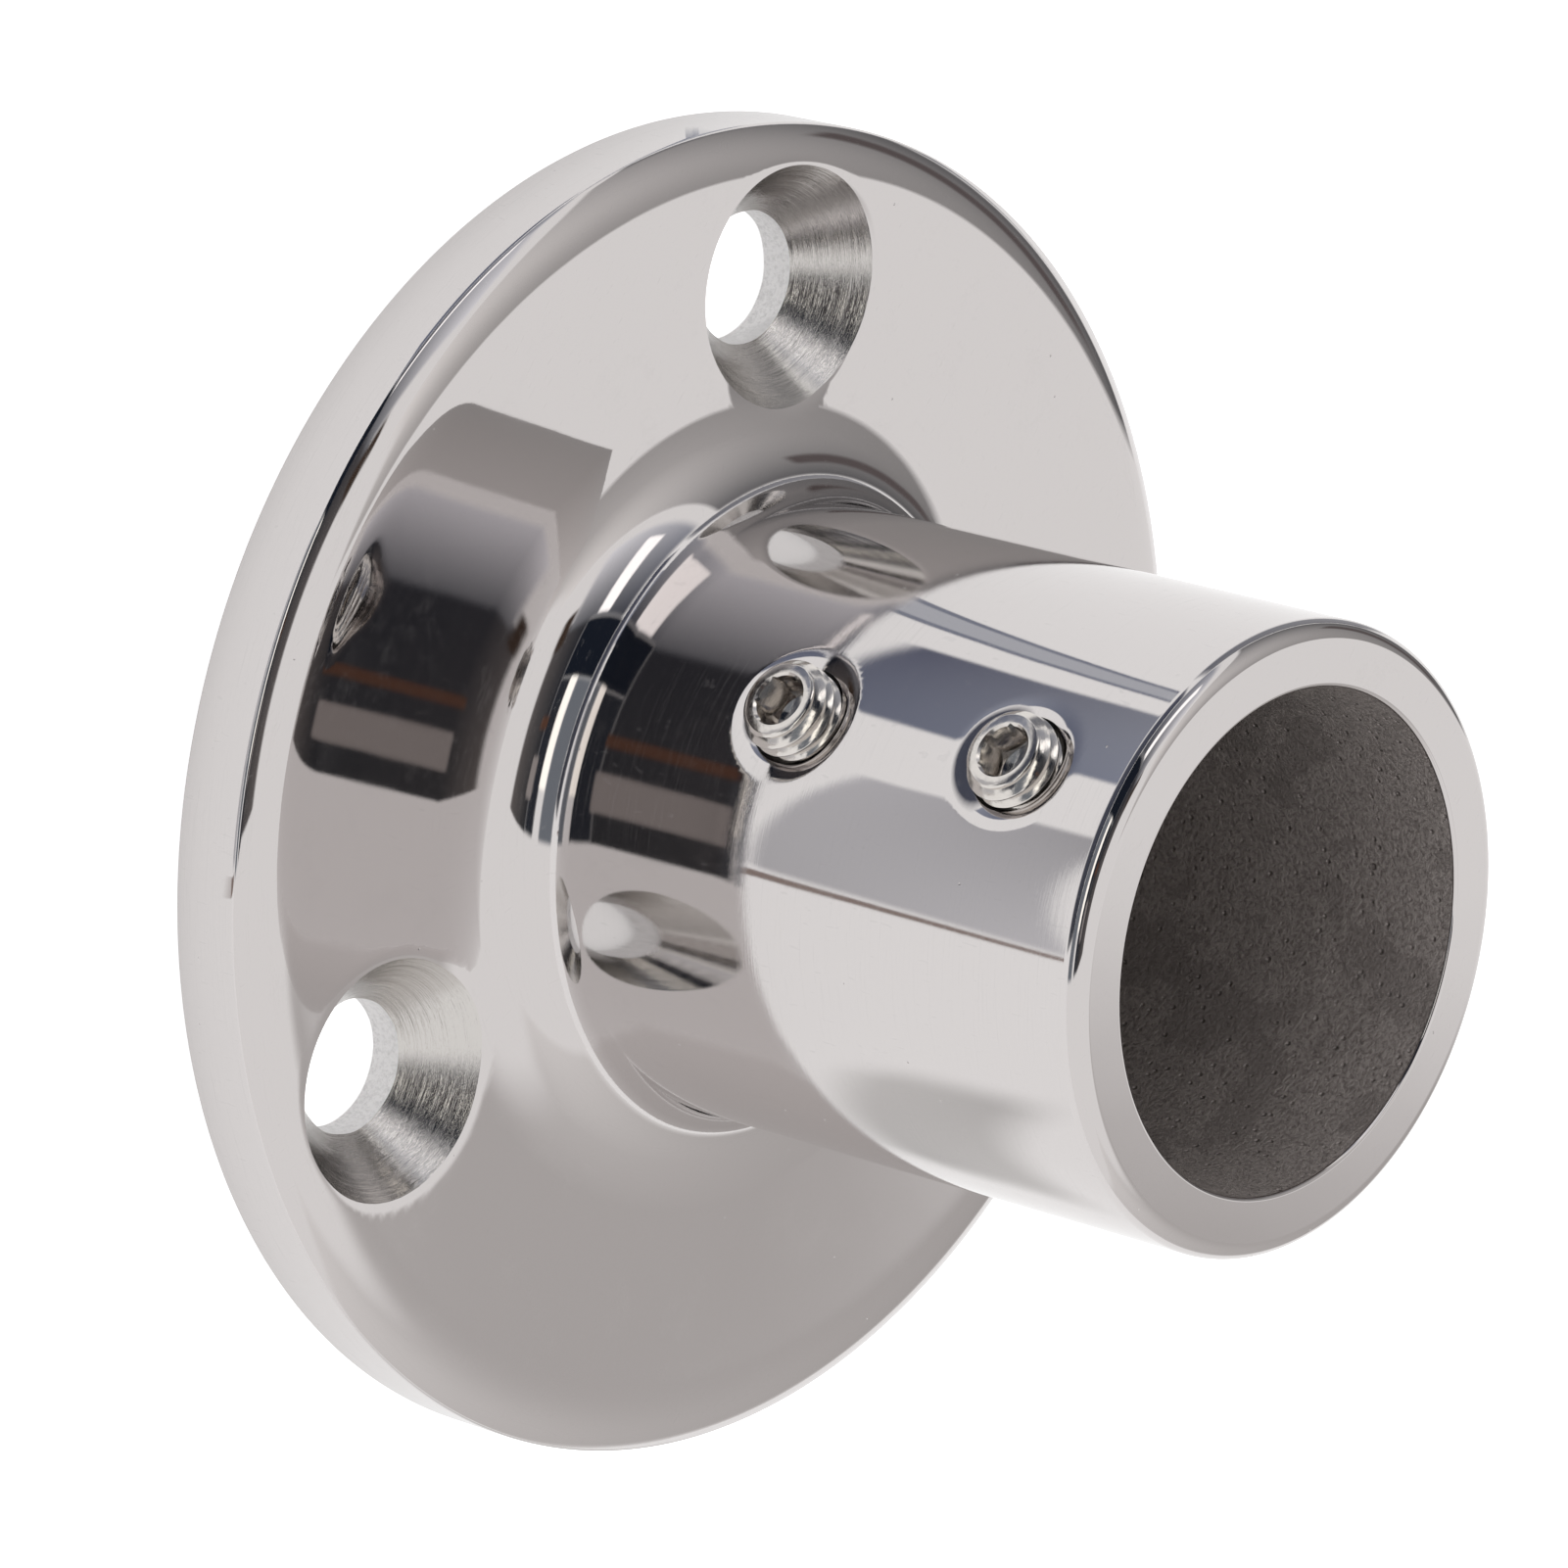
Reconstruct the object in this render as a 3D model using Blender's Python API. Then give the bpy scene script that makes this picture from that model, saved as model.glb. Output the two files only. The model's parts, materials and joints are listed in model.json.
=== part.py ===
"""Boat stanchion base: a round flange cast in one with an upright tube socket, and two set screws.

Metres, +Z up. The origin is the centre of the flange's underside, on the deck. The two hex-socket
set screws that clamp the tube stand one above the other on the socket's -Y side. Three
countersunk fastener holes are spaced evenly round the flange, one of them on the +Y side.
"""

import math

import bmesh
import bpy

MM = 0.001

# Flange
FLANGE_RADIUS = 35.0 * MM
FACE_HEIGHT = 5.0 * MM  # lowest circle of the face, beside the root of the socket
DISH_RADIUS = 286.0 * MM  # the face rises very slightly outward from there
CROWN_START = 30.5 * MM  # where the face begins to fall to the rim
CROWN_FALL = 1.146 * MM
EDGE_START = 34.85 * MM  # where the crown meets the rounded edge of the rim
DECK_EDGE_RADIUS = 0.3 * MM

# Relief under the flange, cast to keep the metal's thickness even
RELIEF_RADIUS = 15.0 * MM
RELIEF_DEPTH = 1.2 * MM
RELIEF_DRAFT = 0.5 * MM

# Socket
SOCKET_RADIUS = 16.1 * MM
BORE_RADIUS = 12.8 * MM  # slips over a 25.4 mm (1 in) tube
OVERALL_HEIGHT = 42.5 * MM
MOUTH_OUTER_RADIUS = 1.0 * MM
MOUTH_INNER_RADIUS = 0.2 * MM
ROOT_FILLET_RADIUS = 4.0 * MM
EASING_RADIUS = 13.0 * MM  # the last of the fillet, easing into the face
EASING_ANGLE = math.radians(12)
FLOOR_HEIGHT = 4.6 * MM
FLOOR_FILLET_RADIUS = 0.8 * MM

# Fastener holes for countersunk bolts
HOLE_COUNT = 3
HOLE_CIRCLE_RADIUS = 26.6 * MM
HOLE_RADIUS = 3.5 * MM
COUNTERSINK_RADIUS = 6.3 * MM
COUNTERSINK_ANGLE = math.radians(82)
FIRST_HOLE_ANGLE = math.radians(90)

# Set screws, M5 x 0.8 by 5 mm, with a 2.5 mm hex socket and a cup point
SCREW_HEIGHTS = {"set_screw_inner": 20.8 * MM, "set_screw_outer": 35.0 * MM}
SCREW_OFFSETS = {"set_screw_inner": 0.0 * MM, "set_screw_outer": -0.4 * MM}  # drilled a little off centre
SCREW_STANDS_PROUD = {"set_screw_inner": 1.5 * MM, "set_screw_outer": 1.1 * MM}
TAPPED_HOLE_RADIUS = 2.7 * MM
THREAD_RADIUS = 2.45 * MM
THREAD_ROOT_RADIUS = 2.0 * MM
THREAD_PITCH = 0.8 * MM
SCREW_LENGTH = 5.0 * MM
SCREW_END_RADIUS = 1.95 * MM
CUP_RIM_RADIUS = 1.25 * MM
CUP_RADIUS = 1.05 * MM
CUP_DEPTH = 0.5 * MM
HEX_ACROSS_FLATS = 2.5 * MM
HEX_DEPTH = 2.0 * MM
HEX_LEAD_IN = 0.12 * MM
DRILL_POINT_DEPTH = 0.7 * MM

FACE_CIRCLES = [radius * MM for radius in (24.0, 27.0, 30.0, 31.2, 32.2, 33.0, 33.7, 34.3)]
BODY_STEPS = 72
HOLE_STEPS = 32
THREAD_STEPS = 32
CLEARANCE_CUT = 2.0 * MM  # how far a cutter runs past the face it cuts through
FACET_TWIST = math.radians(2)  # turns a cutter's facets clear of the facets that it cuts
AXIS_MERGE = 0.00001
SHARP_ANGLE = math.radians(30)


def clear_scene():
    for obj in list(bpy.data.objects):
        bpy.data.objects.remove(obj, do_unlink=True)


def steel(name, colour, roughness):
    """A Principled material for bare stainless steel."""
    material = bpy.data.materials.new(name)
    material.use_nodes = True
    shader = material.node_tree.nodes["Principled BSDF"]
    shader.inputs["Base Color"].default_value = (*colour, 1.0)
    shader.inputs["Metallic"].default_value = 1.0
    shader.inputs["Roughness"].default_value = roughness
    return material


def add_object(name, mesh):
    obj = bpy.data.objects.new(name, mesh)
    bpy.context.scene.collection.objects.link(obj)
    return obj


def arc(centre, radius, start, end, segments):
    """Points (radius from the axis, height) along an arc, its angles in degrees from outward to up."""
    points = []
    for step in range(segments + 1):
        angle = math.radians(start + (end - start) * step / segments)
        points.append((centre[0] + radius * math.cos(angle), centre[1] + radius * math.sin(angle)))
    return points


def turned(name, profile, steps):
    """A solid turned about its own Z, from a profile that runs down its outer side."""
    mesh = bpy.data.meshes.new(name)
    vertices = [(radius, 0.0, height) for radius, height in profile]
    edges = [(index, index + 1) for index in range(len(profile) - 1)]
    mesh.from_pydata(vertices, edges, [])
    obj = add_object(name, mesh)
    screw = obj.modifiers.new("turn", "SCREW")
    screw.axis = "Z"
    screw.angle = math.tau
    screw.steps = steps
    screw.render_steps = steps
    screw.use_merge_vertices = True
    screw.merge_threshold = AXIS_MERGE
    screw.use_smooth_shade = True
    return obj


def as_cutter(obj):
    obj.hide_render = True
    obj.display_type = "WIRE"
    return obj


def combine(obj, operation, other):
    boolean = obj.modifiers.new(other.name, "BOOLEAN")
    boolean.operation = operation
    boolean.solver = "EXACT"
    boolean.object = other


def face_root():
    """Distance from the axis to where the root fillet ends and the flange face begins."""
    fillet = ROOT_FILLET_RADIUS * (1 - math.sin(EASING_ANGLE))
    return SOCKET_RADIUS + fillet + EASING_RADIUS * math.sin(EASING_ANGLE)


def crown_share(radius):
    return max(0.0, (radius - CROWN_START) / (FLANGE_RADIUS - CROWN_START))


def face_height(radius):
    """Height of the flange face: a very shallow dish, then a crown that falls to the rim."""
    dish = (radius - face_root()) ** 2 / (2 * DISH_RADIUS)
    return FACE_HEIGHT + dish - CROWN_FALL * crown_share(radius) ** 4


def face_fall(radius):
    """How steeply the flange face falls outward."""
    crown = 4 * CROWN_FALL * crown_share(radius) ** 3 / (FLANGE_RADIUS - CROWN_START)
    return crown - (radius - face_root()) / DISH_RADIUS


def rim_edge():
    """The rounded edge between the crown and the rim's wall."""
    tilt = math.atan(face_fall(EDGE_START))
    radius = (FLANGE_RADIUS - EDGE_START) / (1 - math.sin(tilt))
    centre = (FLANGE_RADIUS - radius, face_height(EDGE_START) - radius * math.cos(tilt))
    return arc(centre, radius, 90 - math.degrees(tilt), 0, 4)


def root_fillet():
    """From the socket's wall down into the flange face, in two arcs that meet smoothly."""
    easing = math.degrees(EASING_ANGLE)
    easing_centre = (face_root(), FACE_HEIGHT + EASING_RADIUS)
    lift = (EASING_RADIUS - ROOT_FILLET_RADIUS) * math.cos(EASING_ANGLE)
    fillet_centre = (SOCKET_RADIUS + ROOT_FILLET_RADIUS, easing_centre[1] - lift)
    fillet = arc(fillet_centre, ROOT_FILLET_RADIUS, 180, 270 - easing, 11)
    return fillet + arc(easing_centre, EASING_RADIUS, 270 - easing, 270, 2)[1:]


def casting_profile():
    """Half section of the casting: up the bore, down the socket, over the flange and back underneath."""
    profile = [(0.0, FLOOR_HEIGHT)]
    floor_corner = (BORE_RADIUS - FLOOR_FILLET_RADIUS, FLOOR_HEIGHT + FLOOR_FILLET_RADIUS)
    profile += arc(floor_corner, FLOOR_FILLET_RADIUS, -90, 0, 3)
    mouth_inner = (BORE_RADIUS + MOUTH_INNER_RADIUS, OVERALL_HEIGHT - MOUTH_INNER_RADIUS)
    profile += arc(mouth_inner, MOUTH_INNER_RADIUS, 180, 90, 2)
    mouth_outer = (SOCKET_RADIUS - MOUTH_OUTER_RADIUS, OVERALL_HEIGHT - MOUTH_OUTER_RADIUS)
    profile += arc(mouth_outer, MOUTH_OUTER_RADIUS, 90, 0, 6)
    profile += root_fillet()
    for radius in FACE_CIRCLES:
        profile.append((radius, face_height(radius)))
    profile += rim_edge()
    deck_edge = (FLANGE_RADIUS - DECK_EDGE_RADIUS, DECK_EDGE_RADIUS)
    profile += arc(deck_edge, DECK_EDGE_RADIUS, 0, -90, 2)
    profile += [(RELIEF_RADIUS, 0.0), (RELIEF_RADIUS - RELIEF_DRAFT, RELIEF_DEPTH), (0.0, RELIEF_DEPTH)]
    return profile


def fastener_cutter(index):
    """A clearance hole with its countersink, on the hole circle."""
    top = face_height(HOLE_CIRCLE_RADIUS)
    slope = math.tan(COUNTERSINK_ANGLE / 2)
    cone_bottom = top - (COUNTERSINK_RADIUS - HOLE_RADIUS) / slope
    mouth = top + CLEARANCE_CUT
    profile = [
        (0.0, mouth),
        (COUNTERSINK_RADIUS + CLEARANCE_CUT * slope, mouth),
        (HOLE_RADIUS, cone_bottom),
        (HOLE_RADIUS, -CLEARANCE_CUT),
        (0.0, -CLEARANCE_CUT),
    ]
    cutter = turned(f"fastener_cutter_{index + 1}", profile, HOLE_STEPS)
    angle = FIRST_HOLE_ANGLE + index * math.tau / HOLE_COUNT
    cutter.location = (HOLE_CIRCLE_RADIUS * math.cos(angle), HOLE_CIRCLE_RADIUS * math.sin(angle), 0.0)
    cutter.rotation_euler = (0.0, 0.0, FACET_TWIST)
    return as_cutter(cutter)


def tapped_hole_cutter(screw_name):
    """The plain bore that stands for a tapped hole, through the socket's -Y wall only."""
    length = SOCKET_RADIUS - BORE_RADIUS + 2 * CLEARANCE_CUT
    profile = [(0.0, length), (TAPPED_HOLE_RADIUS, length), (TAPPED_HOLE_RADIUS, 0.0), (0.0, 0.0)]
    cutter = turned(f"{screw_name}_hole_cutter", profile, HOLE_STEPS)
    cutter.location = (SCREW_OFFSETS[screw_name], CLEARANCE_CUT - BORE_RADIUS, SCREW_HEIGHTS[screw_name])
    cutter.rotation_euler = (math.radians(90), FACET_TWIST, 0.0)
    return as_cutter(cutter)


def make_casting(material):
    casting = turned("base_casting", casting_profile(), BODY_STEPS)
    casting.data.materials.append(material)
    for index in range(HOLE_COUNT):
        combine(casting, "DIFFERENCE", fastener_cutter(index))
    for screw_name in SCREW_HEIGHTS:
        combine(casting, "DIFFERENCE", tapped_hole_cutter(screw_name))
    return casting


def thread_mesh(name, length):
    """A rod with a right-hand V thread of flat crests and roots, its rows following the helix."""
    rows = [(0.0, THREAD_ROOT_RADIUS), (0.31, THREAD_RADIUS), (0.44, THREAD_RADIUS), (0.75, THREAD_ROOT_RADIUS)]
    turns = math.ceil(length / THREAD_PITCH)
    bm = bmesh.new()
    columns = []
    for column in range(THREAD_STEPS + 1):
        angle = math.tau * column / THREAD_STEPS
        points = []
        for row in range(turns * len(rows)):
            turn, place = divmod(row, len(rows))
            fraction, radius = rows[place]
            height = THREAD_PITCH * (turn + 1 + fraction + column / THREAD_STEPS) - length
            points.append(bm.verts.new((radius * math.cos(angle), radius * math.sin(angle), height)))
        columns.append(points)
    for left, right in zip(columns, columns[1:]):
        for row in range(turns * len(rows) - 1):
            bm.faces.new((left[row], right[row], right[row + 1], left[row + 1]))
    bmesh.ops.remove_doubles(bm, verts=bm.verts, dist=AXIS_MERGE)
    bm.edges.ensure_lookup_table()
    open_edges = [edge for edge in bm.edges if edge.is_boundary]
    middle = THREAD_PITCH - length / 2
    for end, height in ((-1, -length), (1, 2 * THREAD_PITCH)):
        centre = bm.verts.new((0.0, 0.0, height))
        for edge in open_edges:
            if end * (edge.verts[0].co.z - middle) > 0:
                bm.faces.new((edge.verts[0], edge.verts[1], centre))
    bmesh.ops.recalc_face_normals(bm, faces=bm.faces)
    mesh = bpy.data.meshes.new(name)
    bm.to_mesh(mesh)
    bm.free()
    return mesh


def blank_cutter(screw_name):
    """The turned blank that the thread is cut on: both ends chamfered, one of them to a cup point."""
    chamfer = THREAD_RADIUS - SCREW_END_RADIUS
    taper = THREAD_RADIUS - CUP_RIM_RADIUS
    beyond = THREAD_RADIUS + chamfer
    profile = [
        (0.0, 0.0),
        (SCREW_END_RADIUS, 0.0),
        (beyond, -beyond + SCREW_END_RADIUS),
        (beyond, -SCREW_LENGTH + taper + chamfer),
        (CUP_RIM_RADIUS, -SCREW_LENGTH),
        (CUP_RADIUS, -SCREW_LENGTH),
        (0.0, -SCREW_LENGTH + CUP_DEPTH),
    ]
    return as_cutter(turned(f"{screw_name}_blank", profile, THREAD_STEPS))


def hex_cutter(screw_name):
    bm = bmesh.new()
    radius = HEX_ACROSS_FLATS / math.sqrt(3)
    height = HEX_DEPTH + CLEARANCE_CUT
    bmesh.ops.create_cone(
        bm, cap_ends=True, segments=6, radius1=radius, radius2=radius, depth=height
    )
    bmesh.ops.translate(bm, verts=bm.verts, vec=(0.0, 0.0, height / 2 - HEX_DEPTH))
    mesh = bpy.data.meshes.new(f"{screw_name}_hex")
    bm.to_mesh(mesh)
    bm.free()
    return as_cutter(add_object(f"{screw_name}_hex", mesh))


def drill_cutter(screw_name):
    """The drilled hole under the hex, with its cone point, and the lead-in at the hex's mouth."""
    drill = HEX_ACROSS_FLATS / 2 - 0.02 * MM
    lead_in = HEX_ACROSS_FLATS / math.sqrt(3) + 0.02 * MM
    profile = [
        (0.0, CLEARANCE_CUT),
        (lead_in + CLEARANCE_CUT, CLEARANCE_CUT),
        (lead_in - HEX_LEAD_IN, -HEX_LEAD_IN),
        (drill, HEX_LEAD_IN - HEX_DEPTH),
        (drill, -HEX_DEPTH - 0.05 * MM),
        (0.0, -HEX_DEPTH - DRILL_POINT_DEPTH),
    ]
    return as_cutter(turned(f"{screw_name}_drill", profile, THREAD_STEPS))


def make_set_screw(name, material):
    """A set screw whose local +Z, its axis, points out of the socket, with its origin at the hex end."""
    spare = 3 * THREAD_PITCH
    screw = add_object(name, thread_mesh(name, SCREW_LENGTH + spare))
    screw.data.materials.append(material)
    cutters = [blank_cutter(name), hex_cutter(name), drill_cutter(name)]
    for operation, cutter in zip(("INTERSECT", "DIFFERENCE", "DIFFERENCE"), cutters):
        combine(screw, operation, cutter)
    outer_end = -(SOCKET_RADIUS + SCREW_STANDS_PROUD[name])
    for turn, obj in enumerate([screw] + cutters):
        obj.location = (SCREW_OFFSETS[name], outer_end, SCREW_HEIGHTS[name])
        obj.rotation_euler = (math.radians(90), turn * FACET_TWIST, 0.0)
    screw.data.shade_smooth()
    screw.data.set_sharp_from_angle(angle=SHARP_ANGLE)
    return screw


def main():
    clear_scene()
    polished_steel = steel("polished_stainless", (0.66, 0.65, 0.64), 0.08)
    screw_steel = steel("screw_stainless", (0.60, 0.585, 0.56), 0.22)
    assembly = add_object("stanchion_base", None)
    pieces = [make_casting(polished_steel)]
    for name in SCREW_HEIGHTS:
        pieces.append(make_set_screw(name, screw_steel))
    for piece in pieces:
        piece.parent = assembly


main()
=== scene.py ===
"""Looks of the boat stanchion base: a mirror-polished casting and two set screws in a pale studio."""
import json
import math

import bmesh
import bpy
import numpy as np
from mathutils import Matrix, Vector, noise


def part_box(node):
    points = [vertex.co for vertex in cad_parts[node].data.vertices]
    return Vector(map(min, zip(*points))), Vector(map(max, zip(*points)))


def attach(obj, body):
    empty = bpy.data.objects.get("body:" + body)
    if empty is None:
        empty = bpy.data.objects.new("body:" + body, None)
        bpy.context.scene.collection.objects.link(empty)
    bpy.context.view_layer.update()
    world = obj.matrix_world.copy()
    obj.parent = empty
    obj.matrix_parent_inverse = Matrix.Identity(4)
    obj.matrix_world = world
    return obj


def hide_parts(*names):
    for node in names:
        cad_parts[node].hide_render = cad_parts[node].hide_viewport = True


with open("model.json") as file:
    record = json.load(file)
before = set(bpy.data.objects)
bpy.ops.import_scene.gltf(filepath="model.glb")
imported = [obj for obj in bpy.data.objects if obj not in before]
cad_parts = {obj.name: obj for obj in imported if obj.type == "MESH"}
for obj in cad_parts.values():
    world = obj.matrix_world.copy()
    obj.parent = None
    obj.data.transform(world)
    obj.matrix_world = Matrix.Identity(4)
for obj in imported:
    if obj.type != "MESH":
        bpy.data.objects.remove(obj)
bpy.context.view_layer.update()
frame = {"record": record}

MM = 0.001

# Sizes that the frame gives
MOUNTS = {mount["name"]: mount for mount in frame["record"]["mounts"]}
FLANGE_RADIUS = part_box("base_casting")[1].x
OVERALL_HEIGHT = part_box("base_casting")[1].z
FLOOR_HEIGHT = MOUNTS["tube_stop"]["pos_m"][2]
SCREW_BODIES = {"set_screw_inner": "inner_screw", "set_screw_outer": "outer_screw"}
SCREW_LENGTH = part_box("set_screw_inner")[1].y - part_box("set_screw_inner")[0].y
THREAD_RADIUS = (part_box("set_screw_inner")[1].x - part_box("set_screw_inner")[0].x) / 2

# Sizes of the casting, the same as the CAD's
SOCKET_RADIUS = 16.1 * MM
BORE_RADIUS = 12.8 * MM
MOUTH_OUTER_RADIUS = 1.0 * MM
MOUTH_INNER_RADIUS = 0.2 * MM
ROOT_FILLET_RADIUS = 4.0 * MM
EASING_RADIUS = 13.0 * MM
EASING_ANGLE = math.radians(12)
FLOOR_FILLET_RADIUS = 0.8 * MM
FACE_HEIGHT = 5.0 * MM
DISH_RADIUS = 286.0 * MM
CROWN_START = 30.5 * MM
CROWN_FALL = 1.146 * MM
EDGE_START = 34.85 * MM
DECK_EDGE_RADIUS = 0.3 * MM
RELIEF_RADIUS = 15.0 * MM
RELIEF_DEPTH = 1.2 * MM
RELIEF_DRAFT = 0.5 * MM
HOLE_CIRCLE_RADIUS = 26.6 * MM
HOLE_RADIUS = 3.5 * MM
COUNTERSINK_RADIUS = 6.3 * MM
COUNTERSINK_HALF_ANGLE = math.radians(41)
HOLE_ANGLES = [math.radians(90 + 120 * index) for index in range(3)]
FILLET_END = SOCKET_RADIUS + ROOT_FILLET_RADIUS * (1 - math.sin(EASING_ANGLE))
FACE_ROOT = FILLET_END + EASING_RADIUS * math.sin(EASING_ANGLE)

# Sizes of the set screws, the same as the CAD's
THREAD_ROOT_RADIUS = 2.0 * MM
THREAD_PITCH = 0.8 * MM
SCREW_END_RADIUS = 1.95 * MM
CUP_RIM_RADIUS = 1.25 * MM
CUP_RADIUS = 1.05 * MM
CUP_DEPTH = 0.5 * MM
HEX_ACROSS_FLATS = 2.5 * MM
HEX_DEPTH = 2.0 * MM
HEX_LEAD_IN = 0.12 * MM
DRILL_POINT_DEPTH = 0.7 * MM

# Fine detail that only the looks have
TAPPED_RADIUS = 2.62 * MM
TAPPED_DISH = (0.25 * MM, 1.3 * MM)  # depth and width of the polished-over rim round a tapped hole
LIP_DISH = (0.045 * MM, 0.7 * MM)  # the same round a countersink
CAST_WAVE = 0.05 * MM
HOLE_SWELL = 0.016  # how unevenly cast the plain part of a fastener hole is, as a share of its radius
HOLE_SWELL_SIZE = 1.6 * MM
RIM_FACING = 0.3  # a rim is rolled only where the surface faces along the hole's axis
TURN_STEPS = 360
HOLE_STEPS = 120
SCREW_STEPS = 96
FINE = 0.002 * MM
OVERSHOOT = 2.0 * MM
FACET_TWIST = math.radians(1)
ZONES = ("polished", "bore", "underside", "countersink", "hole_wall", "tapped_wall")


# ---------------------------------------------------------------- outlines

def arc(centre, radius, start, end, segments, hollow=False):
    """Points (radius, height, normal) along an arc; hollow for one whose metal is outside it."""
    sign = -1 if hollow else 1
    points = []
    for step in range(segments + 1):
        angle = math.radians(start + (end - start) * step / segments)
        across, up = math.cos(angle), math.sin(angle)
        points.append((centre[0] + radius * across, centre[1] + radius * up, sign * across, sign * up))
    return points


def straight(start, end, spacing):
    """Points along a straight run that has the metal on its right."""
    across, up = end[0] - start[0], end[1] - start[1]
    length = math.hypot(across, up)
    count = max(1, round(length / spacing))
    points = []
    for step in range(count + 1):
        share = step / count
        points.append((start[0] + across * share, start[1] + up * share, -up / length, across / length))
    return points


def face_height(radius):
    """Height of the flange face: a very shallow dish, then a crown that falls to the rim."""
    crown = max(0.0, (radius - CROWN_START) / (FLANGE_RADIUS - CROWN_START))
    return FACE_HEIGHT + (radius - FACE_ROOT) ** 2 / (2 * DISH_RADIUS) - CROWN_FALL * crown**4


def face_fall(radius):
    """How steeply the flange face falls outward."""
    crown = max(0.0, (radius - CROWN_START) / (FLANGE_RADIUS - CROWN_START))
    return 4 * CROWN_FALL * crown**3 / (FLANGE_RADIUS - CROWN_START) - (radius - FACE_ROOT) / DISH_RADIUS


def face_run(spacing):
    count = round((EDGE_START - FACE_ROOT) / spacing)
    points = []
    for step in range(count + 1):
        radius = FACE_ROOT + (EDGE_START - FACE_ROOT) * step / count
        fall = face_fall(radius)
        length = math.hypot(fall, 1)
        points.append((radius, face_height(radius), fall / length, 1 / length))
    return points


def joined(*runs):
    """One run of points, without the doubles where one run ends and the next begins."""
    points = []
    for run in runs:
        for point in run:
            if not points or math.dist(points[-1][:2], point[:2]) > FINE:
                points.append(point)
    return points


def casting_runs():
    """The casting's half section, zone by zone, from the bore's floor round to the underside."""
    top = OVERALL_HEIGHT
    easing_centre = (FACE_ROOT, FACE_HEIGHT + EASING_RADIUS)
    fillet_lift = (EASING_RADIUS - ROOT_FILLET_RADIUS) * math.cos(EASING_ANGLE)
    fillet_centre = (SOCKET_RADIUS + ROOT_FILLET_RADIUS, easing_centre[1] - fillet_lift)
    easing = math.degrees(EASING_ANGLE)
    floor_corner = (BORE_RADIUS - FLOOR_FILLET_RADIUS, FLOOR_HEIGHT + FLOOR_FILLET_RADIUS)
    mouth_inner = (BORE_RADIUS + MOUTH_INNER_RADIUS, top - MOUTH_INNER_RADIUS)
    mouth_outer = (SOCKET_RADIUS - MOUTH_OUTER_RADIUS, top - MOUTH_OUTER_RADIUS)
    deck_edge = (FLANGE_RADIUS - DECK_EDGE_RADIUS, DECK_EDGE_RADIUS)
    relief_foot = (RELIEF_RADIUS - RELIEF_DRAFT, RELIEF_DEPTH)
    edge_tilt = math.atan(face_fall(EDGE_START))
    edge_radius = (FLANGE_RADIUS - EDGE_START) / (1 - math.sin(edge_tilt))
    edge_drop = edge_radius * math.cos(edge_tilt)
    edge_centre = (FLANGE_RADIUS - edge_radius, face_height(EDGE_START) - edge_drop)
    bore = joined(
        straight((0.0, FLOOR_HEIGHT), (floor_corner[0], FLOOR_HEIGHT), 1.0 * MM),
        arc(floor_corner, FLOOR_FILLET_RADIUS, -90, 0, 6, hollow=True),
        straight((BORE_RADIUS, floor_corner[1]), (BORE_RADIUS, mouth_inner[1]), 0.4 * MM),
    )
    polished = joined(
        arc(mouth_inner, MOUTH_INNER_RADIUS, 180, 90, 6),
        straight((mouth_inner[0], top), (mouth_outer[0], top), 0.3 * MM),
        arc(mouth_outer, MOUTH_OUTER_RADIUS, 90, 0, 14),
        straight((SOCKET_RADIUS, mouth_outer[1]), (SOCKET_RADIUS, fillet_centre[1]), 0.3 * MM),
        arc(fillet_centre, ROOT_FILLET_RADIUS, 180, 270 - easing, 32, hollow=True),
        arc(easing_centre, EASING_RADIUS, 270 - easing, 270, 6, hollow=True),
        face_run(0.3 * MM),
        arc(edge_centre, edge_radius, 90 - math.degrees(edge_tilt), 0, 8),
        straight((FLANGE_RADIUS, edge_centre[1]), (FLANGE_RADIUS, DECK_EDGE_RADIUS), 0.6 * MM),
        arc(deck_edge, DECK_EDGE_RADIUS, 0, -90, 5),
    )
    underside = joined(
        straight((deck_edge[0], 0.0), (RELIEF_RADIUS, 0.0), 1.0 * MM),
        straight((RELIEF_RADIUS, 0.0), relief_foot, 0.4 * MM),
        straight(relief_foot, (0.0, RELIEF_DEPTH), 1.0 * MM),
    )
    return [("bore", bore), ("polished", polished), ("underside", underside)]


# ---------------------------------------------------------------- turned meshes

def turned_mesh(name, runs, steps):
    """A closed mesh turned about Z from runs that follow each other, down the outer side."""
    rows = []
    zones = []
    for zone, run in runs:
        for point in run:
            if not rows or math.dist(rows[-1], point[:2]) > FINE:
                rows.append(point[:2])
                zones.append(ZONES.index(zone))
    bm = bmesh.new()
    rings = []
    for radius, height in rows:
        if radius < FINE:
            rings.append([bm.verts.new((0.0, 0.0, height))] * steps)
            continue
        ring = []
        for step in range(steps):
            angle = math.tau * step / steps
            ring.append(bm.verts.new((radius * math.cos(angle), radius * math.sin(angle), height)))
        rings.append(ring)
    for index, (upper, lower) in enumerate(zip(rings, rings[1:])):
        for step in range(steps):
            after = (step + 1) % steps
            corners = dict.fromkeys((upper[step], lower[step], lower[after], upper[after]))
            face = bm.faces.new(list(corners))
            face.material_index = zones[index + 1]
            face.smooth = True
    mesh = bpy.data.meshes.new(name)
    bm.to_mesh(mesh)
    bm.free()
    return mesh


def add_object(name, mesh):
    obj = bpy.data.objects.new(name, mesh)
    bpy.context.scene.collection.objects.link(obj)
    return obj


def plain_run(zone, *points):
    """A run of one zone through bare (radius, height) points."""
    return zone, points


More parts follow.
